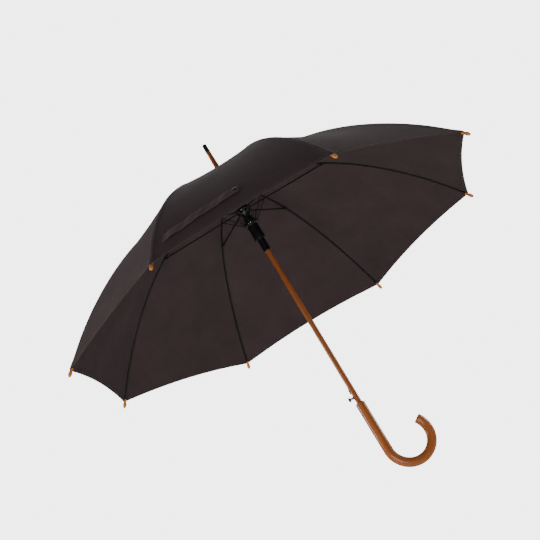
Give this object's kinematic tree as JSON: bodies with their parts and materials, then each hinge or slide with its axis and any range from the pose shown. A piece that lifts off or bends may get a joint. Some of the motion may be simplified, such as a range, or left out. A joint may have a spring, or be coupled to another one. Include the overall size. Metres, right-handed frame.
{
  "type": "stick umbrella",
  "caption": "Open automatic stick umbrella with a dark domed cloth canopy on metal ribs, a varnished wooden shaft, wooden rib tips and a curved crook handle.",
  "frame": {"origin": "centre of the flat outer end of the ferrule cap, at the very top of the open umbrella", "axes": "+Z runs along the shaft from the handle towards the ferrule; +X is the way the crook curls, so the push button is on the -X side; the umbrella stands upright and open"},
  "size_m": [1.0098, 1.0098, 0.8588],
  "materials": {
    "shaft_wood": "varnished, semi-gloss, orange-brown with lengthwise grain",
    "handle_wood": "varnished, semi-gloss, orange-brown with the grain following the bend",
    "tip_wood": "varnished turned wood",
    "black_metal": "black, semi-gloss",
    "rib_steel": "dark grey-black lacquered steel",
    "stretcher_steel": "black lacquered steel",
    "strut_wire": "thin dark steel wire",
    "spring_steel": "dark spring steel",
    "catch_steel": "dark spring steel",
    "black_plastic": "black moulded plastic, semi-gloss",
    "bright_wire": "bright wire",
    "button_brass": "dull olive brass",
    "canopy_cloth": "very dark brown-black woven cloth, slight sheen",
    "strap_cloth": "strip of the same very dark brown-black cloth"
  },
  "bodies": {
    "shaft_and_handle": {"shaft": "shaft_wood", "ferrule": "shaft_wood", "ferrule_cap": "black_metal", "canopy_rosette": "canopy_cloth", "crown": "black_plastic", "crown_wire": "bright_wire", "handle": "handle_wood"},
    "hand_catch": {"hand_catch": "catch_steel"},
    "push_button": {"push_button": "button_brass"},
    "runner": {"runner": "black_plastic", "runner_wire": "bright_wire", "runner_spring": "spring_steel"},
    "spring_cup": {"spring_cup": "black_plastic", "cup_ring": "black_metal", "cup_wire": "bright_wire"},
    "rib_1": {"rib_1": "rib_steel"},
    "rib_end_1": {"rib_tip_1": "tip_wood"},
    "stretcher_1": {"stretcher_1": "stretcher_steel"},
    "strut_1": {"strut_1": "strut_wire"},
    "canopy_panel_1": {"canopy_panel_1": "canopy_cloth"},
    "rib_2": {"rib_2": "rib_steel"},
    "rib_end_2": {"rib_tip_2": "tip_wood"},
    "stretcher_2": {"stretcher_2": "stretcher_steel"},
    "strut_2": {"strut_2": "strut_wire"},
    "canopy_panel_2": {"canopy_panel_2": "canopy_cloth"},
    "rib_3": {"rib_3": "rib_steel"},
    "rib_end_3": {"rib_tip_3": "tip_wood"},
    "stretcher_3": {"stretcher_3": "stretcher_steel"},
    "strut_3": {"strut_3": "strut_wire"},
    "canopy_panel_3": {"canopy_panel_3": "canopy_cloth"},
    "rib_4": {"rib_4": "rib_steel"},
    "rib_end_4": {"rib_tip_4": "tip_wood"},
    "stretcher_4": {"stretcher_4": "stretcher_steel"},
    "strut_4": {"strut_4": "strut_wire"},
    "canopy_panel_4": {"canopy_panel_4": "canopy_cloth"},
    "rib_5": {"rib_5": "rib_steel"},
    "rib_end_5": {"rib_tip_5": "tip_wood"},
    "stretcher_5": {"stretcher_5": "stretcher_steel"},
    "strut_5": {"strut_5": "strut_wire"},
    "canopy_panel_5": {"canopy_panel_5": "canopy_cloth"},
    "rib_6": {"rib_6": "rib_steel"},
    "rib_end_6": {"rib_tip_6": "tip_wood"},
    "stretcher_6": {"stretcher_6": "stretcher_steel"},
    "strut_6": {"strut_6": "strut_wire"},
    "canopy_panel_6": {"canopy_panel_6": "canopy_cloth", "tie_strap": "strap_cloth", "strap_snap": "black_metal"},
    "rib_7": {"rib_7": "rib_steel"},
    "rib_end_7": {"rib_tip_7": "tip_wood"},
    "stretcher_7": {"stretcher_7": "stretcher_steel"},
    "strut_7": {"strut_7": "strut_wire"},
    "canopy_panel_7": {"canopy_panel_7": "canopy_cloth"},
    "rib_8": {"rib_8": "rib_steel"},
    "rib_end_8": {"rib_tip_8": "tip_wood"},
    "stretcher_8": {"stretcher_8": "stretcher_steel"},
    "strut_8": {"strut_8": "strut_wire"},
    "canopy_panel_8": {"canopy_panel_8": "canopy_cloth"}
  },
  "joints": [
    {"name": "runner_slide", "type": "slide", "parent": "shaft_and_handle", "child": "runner", "axis": [0, 0, -1], "range_m": [0, 0.3706], "stiffness_N_per_m": 118, "springref_m": -0.127},
    {"name": "cup_slide", "type": "slide", "parent": "runner", "child": "spring_cup", "axis": [0, 0, 1], "range_m": [0, 0.02183], "deforming": ["runner_spring"]},
    {"name": "rib_1_fold", "type": "hinge", "parent": "shaft_and_handle", "child": "rib_1", "pos_m": [0.00989, 0.00148, -0.113], "axis": [-0.1478, 0.989, 0], "range_deg": [0, 76.97], "deforming": ["rib_1"]},
    {"name": "rib_1_flex", "type": "hinge", "parent": "rib_1", "child": "rib_end_1", "pos_m": [0.2255, 0.0337, -0.15073], "axis": [-0.1478, 0.989, 0], "range_deg": [-29.17, 0]},
    {"name": "stretcher_1_fold", "type": "hinge", "parent": "runner", "child": "stretcher_1", "pos_m": [0.01187, 0.00177, -0.181], "axis": [-0.1478, 0.989, 0], "range_deg": [-79.29, 0]},
    {"name": "strut_1_fold", "type": "hinge", "parent": "spring_cup", "child": "strut_1", "pos_m": [0.01483, 0.00222, -0.2175], "axis": [-0.1478, 0.989, 0], "range_deg": [-45.02, 0]},
    {"name": "canopy_1_fold", "type": "hinge", "parent": "shaft_and_handle", "child": "canopy_panel_1", "pos_m": [0.00789, 0.00474, -0.113], "axis": [-0.515, 0.8572, 0], "range_deg": [0, 57.38], "deforming": ["canopy_panel_1"]},
    {"name": "rib_2_fold", "type": "hinge", "parent": "shaft_and_handle", "child": "rib_2", "pos_m": [0.00595, 0.00804, -0.113], "axis": [-0.8039, 0.5948, 0], "range_deg": [0, 76.97], "deforming": ["rib_2"]},
    {"name": "rib_2_flex", "type": "hinge", "parent": "rib_2", "child": "rib_end_2", "pos_m": [0.13562, 0.18328, -0.15073], "axis": [-0.8039, 0.5948, 0], "range_deg": [-29.17, 0]},
    {"name": "stretcher_2_fold", "type": "hinge", "parent": "runner", "child": "stretcher_2", "pos_m": [0.00714, 0.00965, -0.181], "axis": [-0.8039, 0.5948, 0], "range_deg": [-79.29, 0]},
    {"name": "strut_2_fold", "type": "hinge", "parent": "spring_cup", "child": "strut_2", "pos_m": [0.00892, 0.01206, -0.2175], "axis": [-0.8039, 0.5948, 0], "range_deg": [-45.02, 0]},
    {"name": "canopy_2_fold", "type": "hinge", "parent": "shaft_and_handle", "child": "canopy_panel_2", "pos_m": [0.00223, 0.00893, -0.113], "axis": [-0.9703, 0.2419, 0], "range_deg": [0, 57.38], "deforming": ["canopy_panel_2"]},
    {"name": "rib_3_fold", "type": "hinge", "parent": "shaft_and_handle", "child": "rib_3", "pos_m": [-0.00148, 0.00989, -0.113], "axis": [-0.989, -0.1478, 0], "range_deg": [0, 76.97], "deforming": ["rib_3"]},
    {"name": "rib_3_flex", "type": "hinge", "parent": "rib_3", "child": "rib_end_3", "pos_m": [-0.0337, 0.2255, -0.15073], "axis": [-0.989, -0.1478, 0], "range_deg": [-29.17, 0]},
    {"name": "stretcher_3_fold", "type": "hinge", "parent": "runner", "child": "stretcher_3", "pos_m": [-0.00177, 0.01187, -0.181], "axis": [-0.989, -0.1478, 0], "range_deg": [-79.29, 0]},
    {"name": "strut_3_fold", "type": "hinge", "parent": "spring_cup", "child": "strut_3", "pos_m": [-0.00222, 0.01483, -0.2175], "axis": [-0.989, -0.1478, 0], "range_deg": [-45.02, 0]},
    {"name": "canopy_3_fold", "type": "hinge", "parent": "shaft_and_handle", "child": "canopy_panel_3", "pos_m": [-0.00474, 0.00789, -0.113], "axis": [-0.8572, -0.515, 0], "range_deg": [0, 57.38], "deforming": ["canopy_panel_3"]},
    {"name": "rib_4_fold", "type": "hinge", "parent": "shaft_and_handle", "child": "rib_4", "pos_m": [-0.00804, 0.00595, -0.113], "axis": [-0.5948, -0.8039, 0], "range_deg": [0, 76.97], "deforming": ["rib_4"]},
    {"name": "rib_4_flex", "type": "hinge", "parent": "rib_4", "child": "rib_end_4", "pos_m": [-0.18328, 0.13562, -0.15073], "axis": [-0.5948, -0.8039, 0], "range_deg": [-29.17, 0]},
    {"name": "stretcher_4_fold", "type": "hinge", "parent": "runner", "child": "stretcher_4", "pos_m": [-0.00965, 0.00714, -0.181], "axis": [-0.5948, -0.8039, 0], "range_deg": [-79.29, 0]},
    {"name": "strut_4_fold", "type": "hinge", "parent": "spring_cup", "child": "strut_4", "pos_m": [-0.01206, 0.00892, -0.2175], "axis": [-0.5948, -0.8039, 0], "range_deg": [-45.02, 0]},
    {"name": "canopy_4_fold", "type": "hinge", "parent": "shaft_and_handle", "child": "canopy_panel_4", "pos_m": [-0.00893, 0.00223, -0.113], "axis": [-0.2419, -0.9703, 0], "range_deg": [0, 57.38], "deforming": ["canopy_panel_4"]},
    {"name": "rib_5_fold", "type": "hinge", "parent": "shaft_and_handle", "child": "rib_5", "pos_m": [-0.00989, -0.00148, -0.113], "axis": [0.1478, -0.989, 0], "range_deg": [0, 76.97], "deforming": ["rib_5"]},
    {"name": "rib_5_flex", "type": "hinge", "parent": "rib_5", "child": "rib_end_5", "pos_m": [-0.2255, -0.0337, -0.15073], "axis": [0.1478, -0.989, 0], "range_deg": [-29.17, 0]},
    {"name": "stretcher_5_fold", "type": "hinge", "parent": "runner", "child": "stretcher_5", "pos_m": [-0.01187, -0.00177, -0.181], "axis": [0.1478, -0.989, 0], "range_deg": [-79.29, 0]},
    {"name": "strut_5_fold", "type": "hinge", "parent": "spring_cup", "child": "strut_5", "pos_m": [-0.01483, -0.00222, -0.2175], "axis": [0.1478, -0.989, 0], "range_deg": [-45.02, 0]},
    {"name": "canopy_5_fold", "type": "hinge", "parent": "shaft_and_handle", "child": "canopy_panel_5", "pos_m": [-0.00789, -0.00474, -0.113], "axis": [0.515, -0.8572, 0], "range_deg": [0, 57.38], "deforming": ["canopy_panel_5"]},
    {"name": "rib_6_fold", "type": "hinge", "parent": "shaft_and_handle", "child": "rib_6", "pos_m": [-0.00595, -0.00804, -0.113], "axis": [0.8039, -0.5948, 0], "range_deg": [0, 76.97], "deforming": ["rib_6"]},
    {"name": "rib_6_flex", "type": "hinge", "parent": "rib_6", "child": "rib_end_6", "pos_m": [-0.13562, -0.18328, -0.15073], "axis": [0.8039, -0.5948, 0], "range_deg": [-29.17, 0]},
    {"name": "stretcher_6_fold", "type": "hinge", "parent": "runner", "child": "stretcher_6", "pos_m": [-0.00714, -0.00965, -0.181], "axis": [0.8039, -0.5948, 0], "range_deg": [-79.29, 0]},
    {"name": "strut_6_fold", "type": "hinge", "parent": "spring_cup", "child": "strut_6", "pos_m": [-0.00892, -0.01206, -0.2175], "axis": [0.8039, -0.5948, 0], "range_deg": [-45.02, 0]},
    {"name": "canopy_6_fold", "type": "hinge", "parent": "shaft_and_handle", "child": "canopy_panel_6", "pos_m": [-0.00223, -0.00893, -0.113], "axis": [0.9703, -0.2419, 0], "range_deg": [0, 57.38], "deforming": ["canopy_panel_6", "tie_strap"]},
    {"name": "rib_7_fold", "type": "hinge", "parent": "shaft_and_handle", "child": "rib_7", "pos_m": [0.00148, -0.00989, -0.113], "axis": [0.989, 0.1478, 0], "range_deg": [0, 76.97], "deforming": ["rib_7"]},
    {"name": "rib_7_flex", "type": "hinge", "parent": "rib_7", "child": "rib_end_7", "pos_m": [0.0337, -0.2255, -0.15073], "axis": [0.989, 0.1478, 0], "range_deg": [-29.17, 0]},
    {"name": "stretcher_7_fold", "type": "hinge", "parent": "runner", "child": "stretcher_7", "pos_m": [0.00177, -0.01187, -0.181], "axis": [0.989, 0.1478, 0], "range_deg": [-79.29, 0]},
    {"name": "strut_7_fold", "type": "hinge", "parent": "spring_cup", "child": "strut_7", "pos_m": [0.00222, -0.01483, -0.2175], "axis": [0.989, 0.1478, 0], "range_deg": [-45.02, 0]},
    {"name": "canopy_7_fold", "type": "hinge", "parent": "shaft_and_handle", "child": "canopy_panel_7", "pos_m": [0.00474, -0.00789, -0.113], "axis": [0.8572, 0.515, 0], "range_deg": [0, 57.38], "deforming": ["canopy_panel_7"]},
    {"name": "rib_8_fold", "type": "hinge", "parent": "shaft_and_handle", "child": "rib_8", "pos_m": [0.00804, -0.00595, -0.113], "axis": [0.5948, 0.8039, 0], "range_deg": [0, 76.97], "deforming": ["rib_8"]},
    {"name": "rib_8_flex", "type": "hinge", "parent": "rib_8", "child": "rib_end_8", "pos_m": [0.18328, -0.13562, -0.15073], "axis": [0.5948, 0.8039, 0], "range_deg": [-29.17, 0]},
    {"name": "stretcher_8_fold", "type": "hinge", "parent": "runner", "child": "stretcher_8", "pos_m": [0.00965, -0.00714, -0.181], "axis": [0.5948, 0.8039, 0], "range_deg": [-79.29, 0]},
    {"name": "strut_8_fold", "type": "hinge", "parent": "spring_cup", "child": "strut_8", "pos_m": [0.01206, -0.00892, -0.2175], "axis": [0.5948, 0.8039, 0], "range_deg": [-45.02, 0]},
    {"name": "canopy_8_fold", "type": "hinge", "parent": "shaft_and_handle", "child": "canopy_panel_8", "pos_m": [0.00893, -0.00223, -0.113], "axis": [0.2419, 0.9703, 0], "range_deg": [0, 57.38], "deforming": ["canopy_panel_8"]},
    {"name": "push_button_press", "type": "slide", "parent": "shaft_and_handle", "child": "push_button", "axis": [1, 0, 0], "range_m": [0, 0.003], "stiffness_N_per_m": 400, "springref_m": -0.002},
    {"name": "hand_catch_press", "type": "slide", "parent": "shaft_and_handle", "child": "hand_catch", "axis": [1, 0, 0], "range_m": [0, 0.00241]}
  ],
  "couplings": [
    {"joint": "cup_slide", "follows": "runner_slide", "ratio": 0.058912},
    {"joint": "rib_1_fold", "follows": "runner_slide", "rad_per_m": 3.6248},
    {"joint": "rib_1_flex", "follows": "runner_slide", "rad_per_m": -1.3736},
    {"joint": "stretcher_1_fold", "follows": "runner_slide", "rad_per_m": -3.7341},
    {"joint": "strut_1_fold", "follows": "runner_slide", "rad_per_m": -2.1201},
    {"joint": "canopy_1_fold", "follows": "runner_slide", "rad_per_m": 2.7022},
    {"joint": "rib_2_fold", "follows": "runner_slide", "rad_per_m": 3.6248},
    {"joint": "rib_2_flex", "follows": "runner_slide", "rad_per_m": -1.3736},
    {"joint": "stretcher_2_fold", "follows": "runner_slide", "rad_per_m": -3.7341},
    {"joint": "strut_2_fold", "follows": "runner_slide", "rad_per_m": -2.1201},
    {"joint": "canopy_2_fold", "follows": "runner_slide", "rad_per_m": 2.7022},
    {"joint": "rib_3_fold", "follows": "runner_slide", "rad_per_m": 3.6248},
    {"joint": "rib_3_flex", "follows": "runner_slide", "rad_per_m": -1.3736},
    {"joint": "stretcher_3_fold", "follows": "runner_slide", "rad_per_m": -3.7341},
    {"joint": "strut_3_fold", "follows": "runner_slide", "rad_per_m": -2.1201},
    {"joint": "canopy_3_fold", "follows": "runner_slide", "rad_per_m": 2.7022},
    {"joint": "rib_4_fold", "follows": "runner_slide", "rad_per_m": 3.6248},
    {"joint": "rib_4_flex", "follows": "runner_slide", "rad_per_m": -1.3736},
    {"joint": "stretcher_4_fold", "follows": "runner_slide", "rad_per_m": -3.7341},
    {"joint": "strut_4_fold", "follows": "runner_slide", "rad_per_m": -2.1201},
    {"joint": "canopy_4_fold", "follows": "runner_slide", "rad_per_m": 2.7022},
    {"joint": "rib_5_fold", "follows": "runner_slide", "rad_per_m": 3.6248},
    {"joint": "rib_5_flex", "follows": "runner_slide", "rad_per_m": -1.3736},
    {"joint": "stretcher_5_fold", "follows": "runner_slide", "rad_per_m": -3.7341},
    {"joint": "strut_5_fold", "follows": "runner_slide", "rad_per_m": -2.1201},
    {"joint": "canopy_5_fold", "follows": "runner_slide", "rad_per_m": 2.7022},
    {"joint": "rib_6_fold", "follows": "runner_slide", "rad_per_m": 3.6248},
    {"joint": "rib_6_flex", "follows": "runner_slide", "rad_per_m": -1.3736},
    {"joint": "stretcher_6_fold", "follows": "runner_slide", "rad_per_m": -3.7341},
    {"joint": "strut_6_fold", "follows": "runner_slide", "rad_per_m": -2.1201},
    {"joint": "canopy_6_fold", "follows": "runner_slide", "rad_per_m": 2.7022},
    {"joint": "rib_7_fold", "follows": "runner_slide", "rad_per_m": 3.6248},
    {"joint": "rib_7_flex", "follows": "runner_slide", "rad_per_m": -1.3736},
    {"joint": "stretcher_7_fold", "follows": "runner_slide", "rad_per_m": -3.7341},
    {"joint": "strut_7_fold", "follows": "runner_slide", "rad_per_m": -2.1201},
    {"joint": "canopy_7_fold", "follows": "runner_slide", "rad_per_m": 2.7022},
    {"joint": "rib_8_fold", "follows": "runner_slide", "rad_per_m": 3.6248},
    {"joint": "rib_8_flex", "follows": "runner_slide", "rad_per_m": -1.3736},
    {"joint": "stretcher_8_fold", "follows": "runner_slide", "rad_per_m": -3.7341},
    {"joint": "strut_8_fold", "follows": "runner_slide", "rad_per_m": -2.1201},
    {"joint": "canopy_8_fold", "follows": "runner_slide", "rad_per_m": 2.7022},
    {"joint": "hand_catch_press", "follows": "push_button_press", "ratio": 0.8}
  ]
}
